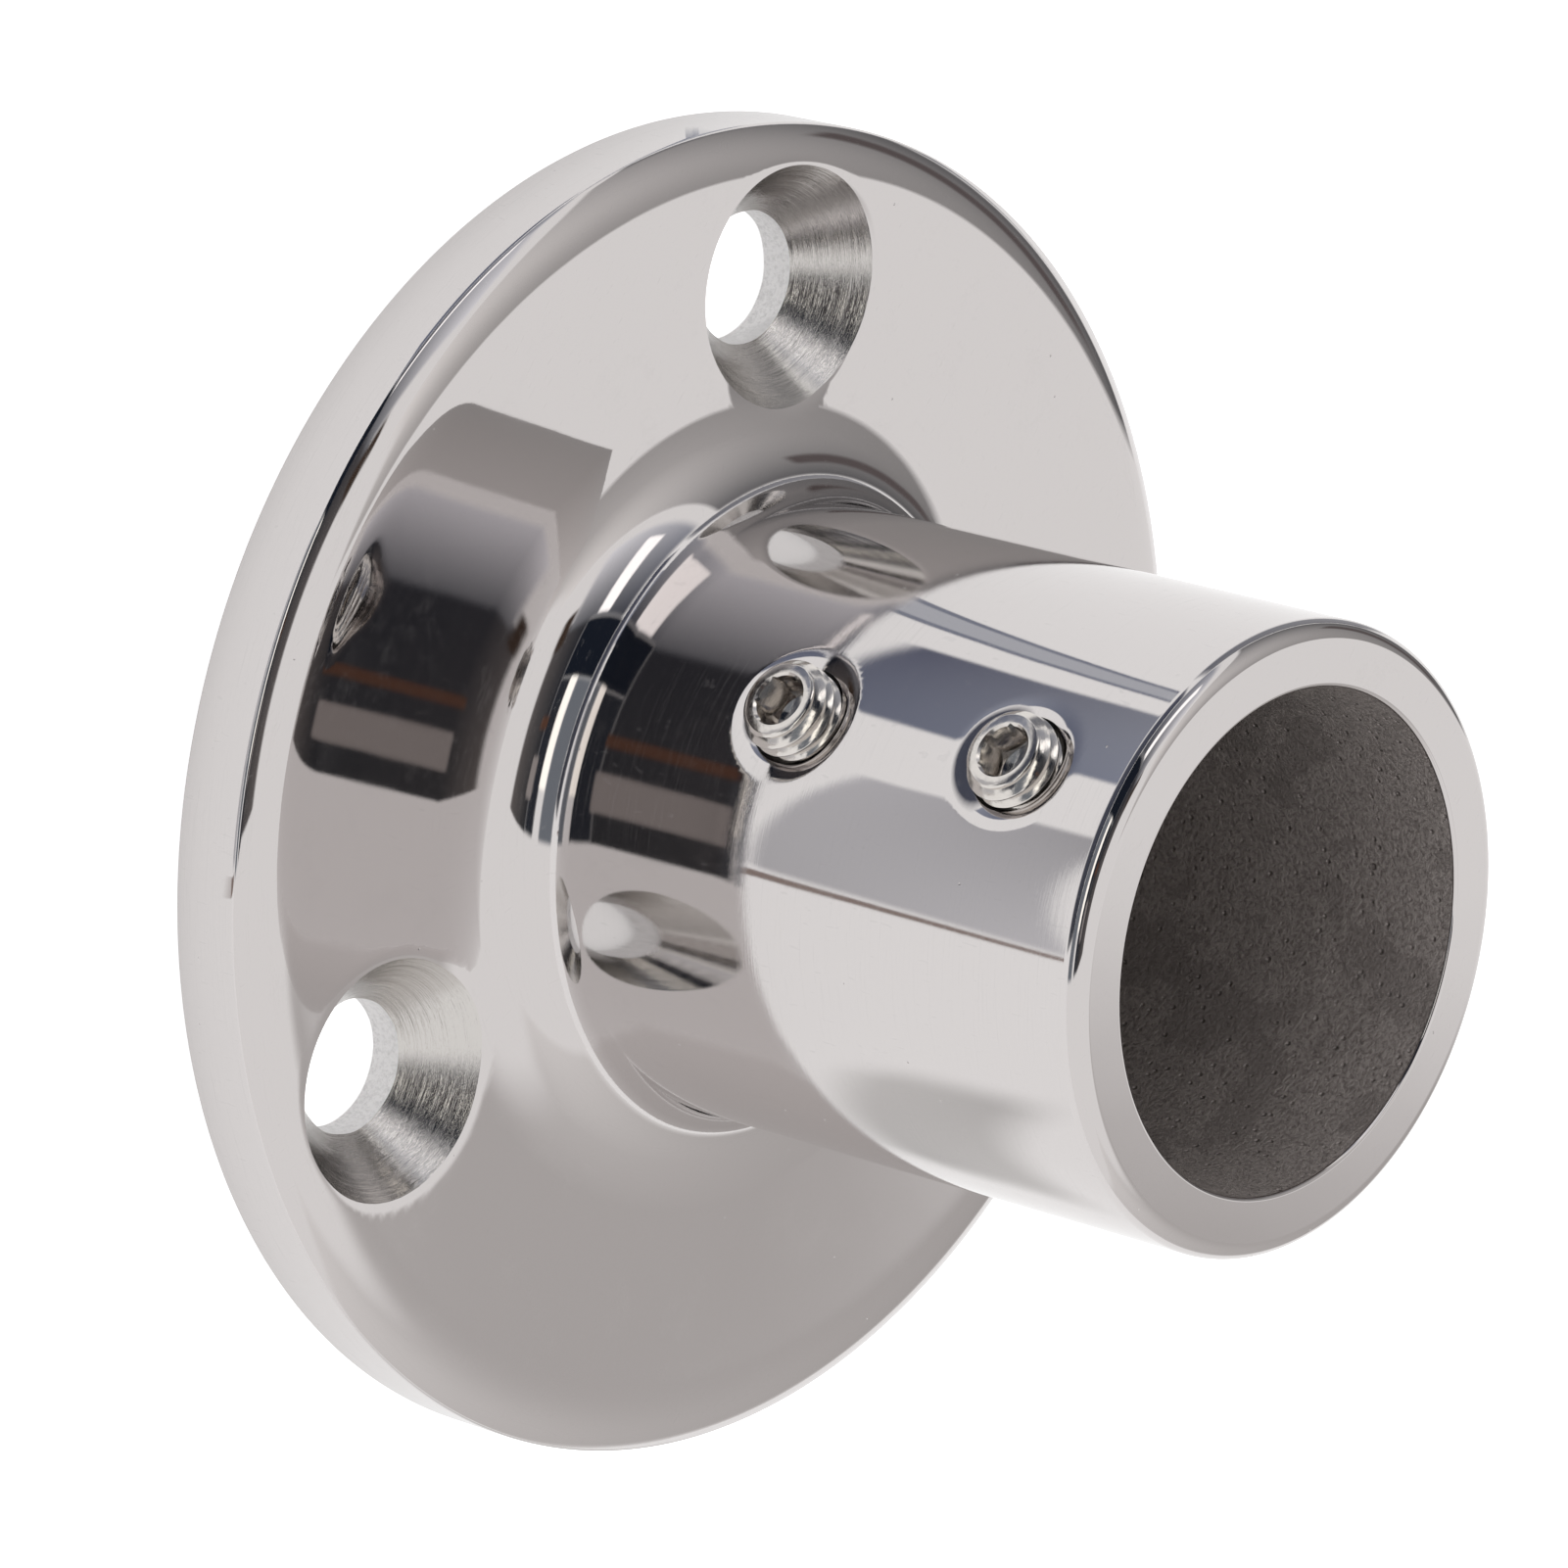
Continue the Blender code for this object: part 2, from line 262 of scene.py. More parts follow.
def combined(obj, operation, cutters):
    """obj's mesh after Booleans with the cutters, which are removed."""
    for cutter in cutters:
        boolean = obj.modifiers.new(cutter.name, "BOOLEAN")
        boolean.operation = operation
        boolean.solver = "EXACT"
        boolean.object = cutter
    bpy.context.view_layer.update()
    graph = bpy.context.evaluated_depsgraph_get()
    mesh = bpy.data.meshes.new_from_object(obj.evaluated_get(graph))
    mesh.name = obj.name
    obj.modifiers.clear()
    obj.data = mesh
    for cutter in cutters:
        bpy.data.objects.remove(cutter)


# ---------------------------------------------------------------- casting

def hole_centre(angle):
    return HOLE_CIRCLE_RADIUS * math.cos(angle), HOLE_CIRCLE_RADIUS * math.sin(angle)


def fastener_cutter(index):
    top = face_height(HOLE_CIRCLE_RADIUS)
    slope = math.tan(COUNTERSINK_HALF_ANGLE)
    cone_bottom = top - (COUNTERSINK_RADIUS - HOLE_RADIUS) / slope
    mouth = top + OVERSHOOT
    mouth_radius = COUNTERSINK_RADIUS + OVERSHOOT * slope
    cone = straight((mouth_radius, mouth), (HOLE_RADIUS, cone_bottom), 0.3 * MM)
    wall = straight((HOLE_RADIUS, cone_bottom), (HOLE_RADIUS, -OVERSHOOT), 0.3 * MM)
    runs = [
        plain_run("countersink", (0.0, mouth)),
        ("countersink", cone),
        ("hole_wall", wall),
        plain_run("hole_wall", (0.0, -OVERSHOOT)),
    ]
    cutter = add_object(f"fastener_cutter_{index}", turned_mesh("fastener_cutter", runs, HOLE_STEPS))
    for vertex in cutter.data.vertices:
        if vertex.co.z < cone_bottom + FINE:
            seed = vertex.co / HOLE_SWELL_SIZE + Vector((7.0 * index, 0.0, 0.0))
            swell = 1 + HOLE_SWELL * noise.noise(seed)
            vertex.co.x *= swell
            vertex.co.y *= swell
    cutter.location = (*hole_centre(HOLE_ANGLES[index]), 0.0)
    cutter.rotation_euler = (0.0, 0.0, FACET_TWIST)
    return cutter


def screw_axis(name):
    """Where a set screw's axis lies, across and up, from its CAD node."""
    low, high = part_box(name)
    return (low.x + high.x) / 2, (low.z + high.z) / 2


def tapped_cutter(name):
    length = SOCKET_RADIUS - BORE_RADIUS + 2 * OVERSHOOT
    wall = straight((TAPPED_RADIUS, length), (TAPPED_RADIUS, 0.0), 0.4 * MM)
    runs = [
        plain_run("tapped_wall", (0.0, length)),
        ("tapped_wall", wall),
        plain_run("tapped_wall", (0.0, 0.0)),
    ]
    cutter = add_object(f"{name}_hole", turned_mesh(f"{name}_hole", runs, HOLE_STEPS))
    across, height = screw_axis(name)
    cutter.location = (across, OVERSHOOT - BORE_RADIUS, height)
    cutter.rotation_euler = (math.radians(90), FACET_TWIST, 0.0)
    return cutter


def rims():
    """Each hole rim that polishing has rolled over: a point on its axis, the axis, radius, dish."""
    found = []
    for angle in HOLE_ANGLES:
        centre = np.array([*hole_centre(angle), 0.0])
        found.append((centre, np.array([0.0, 0.0, 1.0]), COUNTERSINK_RADIUS, LIP_DISH))
    for name in SCREW_BODIES:
        across, height = screw_axis(name)
        centre = np.array([across, -SOCKET_RADIUS, height])
        found.append((centre, np.array([0.0, -1.0, 0.0]), TAPPED_RADIUS, TAPPED_DISH))
    return found


def dish(points, normals):
    """How deep the rolled rims lie at each point of the outer surface, and the way that depth grows."""
    depth = np.zeros(len(points))
    growth = np.zeros((len(points), 3))
    for centre, axis, radius, (full_depth, width) in rims():
        offset = points - centre
        along = offset @ axis
        across = offset - along[:, None] * axis
        distance = np.maximum(np.linalg.norm(across, axis=1), FINE)
        share = np.clip(1 - (distance - radius) / width, 0, 1.5)
        share[normals @ axis < RIM_FACING] = 0
        depth += full_depth * share**2
        slope = -2 * full_depth * share / width
        growth += (slope / distance)[:, None] * across
    return depth, growth


def turned_normals(points, run):
    """Normals of a turned surface at points near it, and each point's distance from it."""
    radius = np.hypot(points[:, 0], points[:, 1])
    flat = np.stack([radius, points[:, 2]], axis=1)
    table = np.array(run)
    start, end = table[:-1], table[1:]
    run_length = ((end - start)[:, :2] ** 2).sum(1)
    best = np.full(len(points), np.inf)
    section = np.zeros((len(points), 2))
    for a, b, length in zip(start, end, run_length):
        share = np.clip(((flat - a[:2]) @ (b - a)[:2]) / length, 0, 1)
        foot = a[:2] + share[:, None] * (b - a)[:2]
        gap = ((flat - foot) ** 2).sum(1)
        nearer = gap < best
        best[nearer] = gap[nearer]
        section[nearer] = (a[2:] + share[:, None] * (b - a)[2:])[nearer]
    outward = points[:, :2] / np.maximum(radius, FINE)[:, None]
    normals = np.column_stack([section[:, :1] * outward, section[:, 1]])
    return normals / np.linalg.norm(normals, axis=1)[:, None], np.sqrt(best)


def mesh_arrays(mesh):
    """Vertex positions, each corner's vertex, face and zone, and each face's normal times its area."""
    positions = np.zeros(len(mesh.vertices) * 3)
    mesh.vertices.foreach_get("co", positions)
    corner_vertex = np.zeros(len(mesh.loops), int)
    mesh.loops.foreach_get("vertex_index", corner_vertex)
    corners = np.zeros(len(mesh.polygons), int)
    mesh.polygons.foreach_get("loop_total", corners)
    zones = np.zeros(len(mesh.polygons), int)
    mesh.polygons.foreach_get("material_index", zones)
    normals = np.zeros(len(mesh.polygons) * 3)
    mesh.polygons.foreach_get("normal", normals)
    areas = np.zeros(len(mesh.polygons))
    mesh.polygons.foreach_get("area", areas)
    corner_face = np.repeat(np.arange(len(corners)), corners)
    weighted = normals.reshape(-1, 3) * areas[:, None]
    return positions.reshape(-1, 3), corner_vertex, corner_face, zones[corner_face], weighted


def set_casting_normals(mesh, runs):
    """Exact normals on the polished surface, and smooth ones inside each other zone."""
    positions, corner_vertex, corner_face, corner_zone, weighted = mesh_arrays(mesh)
    normals = np.zeros((len(corner_vertex), 3))
    for zone_index, zone in enumerate(ZONES):
        chosen = corner_zone == zone_index
        points = positions[corner_vertex[chosen]]
        if zone == "polished":
            exact, _ = turned_normals(points, runs[zone])
            _, growth = dish(points, exact)
            growth -= (growth * exact).sum(1)[:, None] * exact
            normals[chosen] = exact + growth
            continue
        gathered = np.zeros_like(positions)
        np.add.at(gathered, corner_vertex[chosen], weighted[corner_face[chosen]])
        normals[chosen] = gathered[corner_vertex[chosen]]
    lengths = np.linalg.norm(normals, axis=1)
    normals /= np.maximum(lengths, 1e-12)[:, None]
    mesh.normals_split_custom_set(normals.tolist())


def make_casting(materials):
    runs = casting_runs()
    casting = add_object("casting", turned_mesh("casting", runs, TURN_STEPS))
    mesh = casting.data
    positions = mesh_arrays(mesh)[0]
    surface, distance = turned_normals(positions, dict(runs)["polished"])
    depth, _ = dish(positions, surface)
    depth[distance > FINE] = 0
    positions -= surface * depth[:, None]
    radii = np.hypot(positions[:, 0], positions[:, 1])
    inside = (radii < BORE_RADIUS + FINE) & (positions[:, 2] > FLOOR_HEIGHT + FLOOR_FILLET_RADIUS)
    inside &= positions[:, 2] < OVERALL_HEIGHT - 2 * MOUTH_INNER_RADIUS
    for index in np.flatnonzero(inside):
        point = Vector(positions[index])
        swell = CAST_WAVE * (noise.noise(point / (2.4 * MM)) + 0.5 * noise.noise(point / (0.9 * MM)))
        positions[index, :2] *= 1 + swell / BORE_RADIUS
    mesh.vertices.foreach_set("co", positions.ravel())
    for zone in ZONES:
        mesh.materials.append(materials[zone])
    cutters = [fastener_cutter(index) for index in range(len(HOLE_ANGLES))]
    cutters += [tapped_cutter(name) for name in SCREW_BODIES]
    combined(casting, "DIFFERENCE", cutters)
    set_casting_normals(casting.data, dict(runs))
    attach(casting, "base")
    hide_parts("base_casting")


# ---------------------------------------------------------------- set screws

def thread_mesh(name, length):
    """A rod with a right-hand V thread, its rows following the helix."""
    soft = 0.03 * MM
    rows = (
        (0.00, THREAD_ROOT_RADIUS),
        (0.28, THREAD_RADIUS - soft),
        (0.33, THREAD_RADIUS),
        (0.42, THREAD_RADIUS),
        (0.47, THREAD_RADIUS - soft),
        (0.75, THREAD_ROOT_RADIUS),
    )
    count = math.ceil(length / THREAD_PITCH) * len(rows)
    bm = bmesh.new()
    columns = []
    for column in range(SCREW_STEPS + 1):
        share = column / SCREW_STEPS
        angle = math.tau * share
        points = []
        for row in range(count):
            turn, place = divmod(row, len(rows))
            fraction, radius = rows[place]
            height = THREAD_PITCH * (turn + fraction + share + 1) - length
            points.append(bm.verts.new((radius * math.cos(angle), radius * math.sin(angle), height)))
        columns.append(points)
    for left, right in zip(columns, columns[1:]):
        for row in range(count - 1):
            bm.faces.new((left[row], right[row], right[row + 1], left[row + 1]))
    bmesh.ops.remove_doubles(bm, verts=bm.verts, dist=FINE)
    open_edges = [edge for edge in bm.edges if edge.is_boundary]
    middle = THREAD_PITCH - length / 2
    for end, height in ((-1, -length), (1, 2 * THREAD_PITCH)):
        centre = bm.verts.new((0.0, 0.0, height))
        for edge in open_edges:
            if end * (edge.verts[0].co.z - middle) > 0:
                bm.faces.new((edge.verts[0], edge.verts[1], centre))
    bmesh.ops.recalc_face_normals(bm, faces=bm.faces)
    mesh = bpy.data.meshes.new(name)
    bm.to_mesh(mesh)
    bm.free()
    return mesh


def turned_tool(name, *points):
    runs = [plain_run("polished", point) for point in points]
    return add_object(name, turned_mesh(name, runs, SCREW_STEPS))


def screw_tools(name):
    """The blank that the thread is cut on, the hexagon, and the drilled hole below it."""
    chamfer = THREAD_RADIUS - SCREW_END_RADIUS
    taper = THREAD_RADIUS - CUP_RIM_RADIUS
    beyond = THREAD_RADIUS + chamfer
    edge_break = 0.06 * MM
    blank = turned_tool(
        f"{name}_blank",
        (0.0, 0.0),
        (SCREW_END_RADIUS - edge_break, 0.0),
        (SCREW_END_RADIUS, -edge_break / 2),
        (beyond, SCREW_END_RADIUS - beyond - edge_break / 2),
        (beyond, taper + chamfer - SCREW_LENGTH),
        (CUP_RIM_RADIUS, -SCREW_LENGTH),
        (CUP_RADIUS, -SCREW_LENGTH),
        (0.0, CUP_DEPTH - SCREW_LENGTH),
    )
    corner = HEX_ACROSS_FLATS / math.sqrt(3)
    bm = bmesh.new()
    height = HEX_DEPTH + OVERSHOOT
    bmesh.ops.create_cone(bm, cap_ends=True, segments=6, radius1=corner, radius2=corner, depth=height)
    bmesh.ops.translate(bm, verts=bm.verts, vec=(0.0, 0.0, height / 2 - HEX_DEPTH))
    hexagon_mesh = bpy.data.meshes.new(f"{name}_hex")
    bm.to_mesh(hexagon_mesh)
    bm.free()
    hexagon = add_object(f"{name}_hex", hexagon_mesh)
    bore = HEX_ACROSS_FLATS / 2 - 0.02 * MM
    lead_in = corner + 0.02 * MM
    drill = turned_tool(
        f"{name}_drill",
        (0.0, OVERSHOOT),
        (lead_in + OVERSHOOT, OVERSHOOT),
        (lead_in - HEX_LEAD_IN, -HEX_LEAD_IN),
        (bore, HEX_LEAD_IN - HEX_DEPTH),
        (bore, -HEX_DEPTH - 0.05 * MM),
        (0.0, -HEX_DEPTH - DRILL_POINT_DEPTH),
    )
    return blank, hexagon, drill


def make_set_screw(name, turn, material):
    """A set screw in the place of its CAD node, turned about its axis by a number of degrees."""
    spare = 3 * THREAD_PITCH
    screw = add_object(f"{name}_threaded", thread_mesh(name, SCREW_LENGTH + spare))
    tools = screw_tools(name)
    for twist, tool in enumerate(tools):
        tool.rotation_euler = (0.0, 0.0, (twist + 1) * FACET_TWIST)
    combined(screw, "INTERSECT", tools[:1])
    combined(screw, "DIFFERENCE", tools[1:])
    across, height = screw_axis(name)
    place = Matrix.Translation((across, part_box(name)[0].y, height))
    place @= Matrix.Rotation(math.radians(90), 4, "X") @ Matrix.Rotation(math.radians(turn), 4, "Z")
    screw.data.transform(place)
    screw.data.shade_smooth()
    screw.data.set_sharp_from_angle(angle=math.radians(32))
    screw.data.materials.clear()
    screw.data.materials.append(material)
    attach(screw, SCREW_BODIES[name])
    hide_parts(name)


# ---------------------------------------------------------------- materials

def new_material(name, colour, roughness, metallic=1.0):
    material = bpy.data.materials.new(name)
    material.use_nodes = True
    shader = material.node_tree.nodes["Principled BSDF"]
    shader.inputs["Base Color"].default_value = (*colour, 1.0)
    shader.inputs["Roughness"].default_value = roughness
    shader.inputs["Metallic"].default_value = metallic
    return material, shader


def add_node(tree, kind, **values):
    """A new node, each value given to the setting or the input of that name."""
    node = tree.nodes.new(kind)
    for key, value in values.items():
        title = key.replace("_", " ").title()
        if title not in node.inputs:
            setattr(node, key, value)
        elif isinstance(value, bpy.types.NodeSocket):
            tree.links.new(value, node.inputs[title])
        else:
            node.inputs[title].default_value = value
    return node


def object_space(tree, stretch=(1, 1, 1), shift=(0, 0, 0)):
    """Object coordinates in millimetres, stretched and shifted."""
    coordinates = add_node(tree, "ShaderNodeTexCoord")
    scale = [factor / MM for factor in stretch]
    vector = coordinates.outputs["Object"]
    mapping = add_node(tree, "ShaderNodeMapping", vector=vector, scale=scale, location=shift)
    return mapping.outputs["Vector"]


def noise_value(tree, vector, scale, detail=2.0, roughness=0.5, distortion=0.0):
    texture = add_node(tree, "ShaderNodeTexNoise", vector=vector, scale=scale, detail=detail)
    texture.inputs["Roughness"].default_value = roughness
    texture.inputs["Distortion"].default_value = distortion
    return texture.outputs["Fac"]


def remap(tree, value, low, high, to_low=0.0, to_high=1.0):
    node = add_node(tree, "ShaderNodeMapRange", value=value, interpolation_type="SMOOTHSTEP")
    node.inputs["From Min"].default_value = low
    node.inputs["From Max"].default_value = high
    node.inputs["To Min"].default_value = to_low
    node.inputs["To Max"].default_value = to_high
    return node.outputs["Result"]


def calculated(tree, operation, first, second=None):
    node = tree.nodes.new("ShaderNodeMath")
    node.operation = operation
    for index, value in enumerate((first, second)):
        if isinstance(value, bpy.types.NodeSocket):
            tree.links.new(value, node.inputs[index])
        elif value is not None:
            node.inputs[index].default_value = value
    return node.outputs[0]


def blended(tree, factor, first, second):
    """A colour between two, each a colour or a socket."""
    node = tree.nodes.new("ShaderNodeMix")
    node.data_type = "RGBA"
    tree.links.new(factor, node.inputs["Factor"])
    for socket, value in zip([s for s in node.inputs if s.type == "RGBA"], (first, second)):
        if isinstance(value, bpy.types.NodeSocket):
            tree.links.new(value, socket)
        else:
            socket.default_value = (*value, 1.0)
    return [s for s in node.outputs if s.type == "RGBA"][0]


def bump(tree, height, depth, normal=None):
    node = add_node(tree, "ShaderNodeBump", height=height, distance=depth, strength=1.0)
    if normal:
        tree.links.new(normal, node.inputs["Normal"])
    return node.outputs["Normal"]


def lines_round_axis(tree, per_mm, shift=(0, 0, 0)):
    """Noise drawn out round Z: fine on the height, long on the circumference."""
    space = object_space(tree, (0.22, 0.22, per_mm), shift)
    return noise_value(tree, space, 1.0, detail=5.0, roughness=0.75)


POLISHED_COLOUR = (0.63, 0.605, 0.60)
SCRATCHED_ROUGHNESS = 0.42
LEAST_SCATTER = 0.004


def polished_material():
    """Two lobes of one polish: the mirror, and a share of fine scratches that scatter light."""
    material, mirror = new_material("mirror_polished_steel", POLISHED_COLOUR, 0.04)
    tree = material.node_tree
    space = object_space(tree)
    wave = noise_value(tree, space, 0.13, detail=1.5)
    normal = bump(tree, wave, 0.012 * MM)
    lines = lines_round_axis(tree, 9.0)
    normal = bump(tree, lines, 0.0007 * MM, normal)
    pits = add_node(tree, "ShaderNodeTexVoronoi", vector=space, scale=0.42, randomness=1.0)
    pit = remap(tree, pits.outputs["Distance"], 0.012, 0.03)
    normal = bump(tree, pit, 0.03 * MM, normal)
    tree.links.new(normal, mirror.inputs["Normal"])
    haze = noise_value(tree, space, 0.16, detail=3.0)
    tree.links.new(remap(tree, haze, 0.3, 0.8, 0.02, 0.055), mirror.inputs["Roughness"])
    scatter = tree.nodes.new("ShaderNodeBsdfPrincipled")
    scatter.inputs["Base Color"].default_value = (*POLISHED_COLOUR, 1.0)
    scatter.inputs["Metallic"].default_value = 1.0
    scatter.inputs["Roughness"].default_value = SCRATCHED_ROUGHNESS
    tree.links.new(normal, scatter.inputs["Normal"])
    strokes = remap(tree, lines_round_axis(tree, 6.0, (3.0, 1.0, 5.0)), 0.52, 0.74, 0.0, 0.11)
    patch = remap(tree, noise_value(tree, space, 0.09, detail=2.0), 0.35, 0.65, 0.35, 1.0)
    hair_space = object_space(tree, (0.5, 3.4, 0.4), (2, 7, 4))
    hairs = remap(tree, noise_value(tree, hair_space, 2.0, detail=2.0), 0.68, 0.71, 0.0, 0.08)
    share = calculated(tree, "ADD", calculated(tree, "MULTIPLY", strokes, patch), hairs)
    in_pit = calculated(tree, "SUBTRACT", 1.0, pit)
    share = calculated(tree, "ADD", share, calculated(tree, "MULTIPLY", in_pit, 0.5))
    blend = tree.nodes.new("ShaderNodeMixShader")
    tree.links.new(calculated(tree, "ADD", share, LEAST_SCATTER), blend.inputs[0])
    tree.links.new(mirror.outputs[0], blend.inputs[1])
    tree.links.new(scatter.outputs[0], blend.inputs[2])
    tree.links.new(blend.outputs[0], tree.nodes["Material Output"].inputs["Surface"])
    return material


ROUGHNESS_SPREAD = 0.12


def cast_material(name, light, dark, roughness, grit_depth, metallic=0.5):
    """As-cast skin: stains with crisp edges, a grit of grains that is partly their own tone and partly
    painted shade in their hollows, and a few deep pits painted dark inside as painted shade.
    """
    material, shader = new_material(name, light, roughness, metallic)
    tree = material.node_tree
    space = object_space(tree)
    blotch = noise_value(tree, space, 0.16, detail=6.0, roughness=0.6, distortion=0.5)
    grain = noise_value(tree, space, 4.2, detail=3.0, roughness=0.7)
    stained = remap(tree, blotch, 0.42, 0.455)
    # painted shade: the grain darkens the colour where its bump is low, in the grit's hollows, on top of the
    # grains' own tone
    grain_tone_and_shade = remap(tree, grain, 0.28, 0.62)
    plain = calculated(tree, "ADD", calculated(tree, "MULTIPLY", stained, 0.5), 0.5)
    tone = calculated(tree, "MULTIPLY", plain, grain_tone_and_shade)
    holes = add_node(tree, "ShaderNodeTexVoronoi", vector=space, scale=0.22)
    # painted shade: inside each pit the colour goes to the dark tone, with the same mask that sinks the pit
    # by a bump
    pit_relief_and_shade = remap(tree, holes.outputs["Distance"], 0.03, 0.045)
    tone = calculated(tree, "MULTIPLY", tone, pit_relief_and_shade)
    tree.links.new(blended(tree, tone, dark, light), shader.inputs["Base Color"])
    normal = bump(tree, grain, grit_depth)
    pits = add_node(tree, "ShaderNodeTexVoronoi", vector=space, scale=1.3)
    normal = bump(tree, remap(tree, pits.outputs["Distance"], 0.0, 0.22), 1.2 * grit_depth, normal)
    tree.links.new(bump(tree, pit_relief_and_shade, 0.15 * MM, normal), shader.inputs["Normal"])
    rough = remap(tree, grain, 0.3, 0.7, roughness - ROUGHNESS_SPREAD, roughness + ROUGHNESS_SPREAD)
    tree.links.new(rough, shader.inputs["Roughness"])
    return material


def countersink_material():
    material, shader = new_material("turned_countersink", (0.62, 0.60, 0.58), 0.14)
    tree = material.node_tree
    rings = noise_value(tree, object_space(tree, (0.10, 0.10, 3.6)), 1.0, detail=6.0, roughness=0.65)
    normal = bump(tree, rings, 0.055 * MM)
    chatter = noise_value(tree, object_space(tree, (0.9, 0.9, 2.0)), 1.0, detail=3.0)
    normal = bump(tree, chatter, 0.012 * MM, normal)
    tree.links.new(normal, shader.inputs["Normal"])
    tree.links.new(remap(tree, rings, 0.3, 0.7, 0.07, 0.22), shader.inputs["Roughness"])
    return material


def screw_material():
    material, shader = new_material("turned_screw_steel", (0.66, 0.63, 0.60), 0.14)
    tree = material.node_tree
    grain = noise_value(tree, object_space(tree, (1.0, 3.0, 1.0)), 2.0, detail=4.0, roughness=0.6)
    tree.links.new(bump(tree, grain, 0.008 * MM), shader.inputs["Normal"])
    tree.links.new(remap(tree, grain, 0.3, 0.7, 0.08, 0.22), shader.inputs["Roughness"])
    return material


def casting_materials():
    return {
        "polished": polished_material(),
        "bore": cast_material("as_cast_bore", (0.36, 0.325, 0.31), (0.20, 0.178, 0.17), 0.42, 0.14 * MM, 0.3),
        "underside": cast_material(
            "linished_underside", (0.42, 0.41, 0.40), (0.30, 0.29, 0.285), 0.4, 0.01 * MM
        ),
        "countersink": countersink_material(),
        "hole_wall": cast_material(
            "as_cast_hole", (0.82, 0.81, 0.81), (0.62, 0.61, 0.61), 0.45, 0.03 * MM, 0.6
        ),
        "tapped_wall": cast_material("tapped_hole", (0.25, 0.24, 0.23), (0.10, 0.10, 0.10), 0.4, 0.03 * MM),
    }


# ---------------------------------------------------------------- studio

CAMERA_AZIMUTH = 17.44  # degrees from -Y towards +X
DOME_RADIUS = 0.8
DOME_CARD_STEP = 2 * MM  # each card lies this much nearer than the one before it
FLOOR_CARD_START = 0.1 * MM
FLOOR_CARD_STEP = 0.05 * MM  # and each floor card this much higher
FLOOR_HALF = 2.0
FLOOR_ROUGHNESS = 0.9
SOFTBOX_SIZE = 0.6
SOFTBOX_POWER = 3.0
SOFTBOX_PLACE = (0.1, 0.1, 1.0)
WHITE = (1.0, 0.99, 0.985)
BLACK = (0.012, 0.012, 0.015)

# Curved cards on a dome, each lying over those before it: azimuths from the camera's own, elevations,
# the colours at the low left, low right, high left and high right corners, the strength, and the width
# of the soft border along azimuth and elevation, in degrees
DOME_CARDS = {
    "front_black": (
        (-50, 30),
        (37, 64),
        ((0.02, 0.024, 0.034), (0.02, 0.024, 0.03), (0.12, 0.11, 0.11), (0.16, 0.145, 0.14)),
        1.0,
        (1.0, 3.0),
    ),
    "front_brown": ((-60, -38), (54, 65), ((0.06, 0.04, 0.03),) * 4, 1.0, (4.0, 4.0)),
    "blue_side": (
        (-88, -43),
        (-1, 58),
        ((0.35, 0.37, 0.43), (0.03, 0.034, 0.05), (1.05, 1.05, 1.1), (0.14, 0.145, 0.16)),
        1.0,
        (5.0, 5.0),
    ),
    "side_strip": ((-80, -47), (21, 34), ((1.0, 0.98, 0.97),) * 4, 1.7, (1.5, 1.5)),
    "front_column": ((-47, -23), (-1, 40), ((0.012, 0.016, 0.026),) * 4, 1.0, (2.0, 2.0)),
    "front_low": ((-25, 30), (-1, 20), ((0.20, 0.22, 0.25),) * 4, 1.0, (2.0, 2.0)),
    "front_gap": ((-25, 30), (27, 40), ((0.03, 0.034, 0.044),) * 4, 1.0, (2.0, 2.0)),
    "front_strip": ((-25, 14), (19, 29), ((1.0, 0.97, 0.90),) * 4, 1.7, (1.5, 1.5)),
    "front_streak": ((3, 19), (36, 45), ((0.34, 0.31, 0.30),) * 4, 1.0, (1.5, 1.5)),
    "front_thread": ((-11, -5), (37, 47), ((0.12, 0.06, 0.04),) * 4, 1.0, (1.5, 1.0)),
    "left_grey": (
        (-166, -94),
        (-1, 74),
        ((0.10, 0.10, 0.105), (0.16, 0.16, 0.17), (0.62, 0.60, 0.59), (1.05, 1.02, 1.0)),
        1.0,
        (2.0, 4.0),
    ),
    "left_wedge": ((-163, -128), (12, 24), ((0.13, 0.11, 0.11),) * 4, 1.0, (3.0, 4.0)),
    "right_grey": (
        (98, 181),
        (-2, 52),
        ((0.85, 0.83, 0.82), (0.42, 0.40, 0.39), (0.95, 0.93, 0.92), (0.58, 0.56, 0.55)),
        1.0,
        (6.0, 8.0),
    ),
}

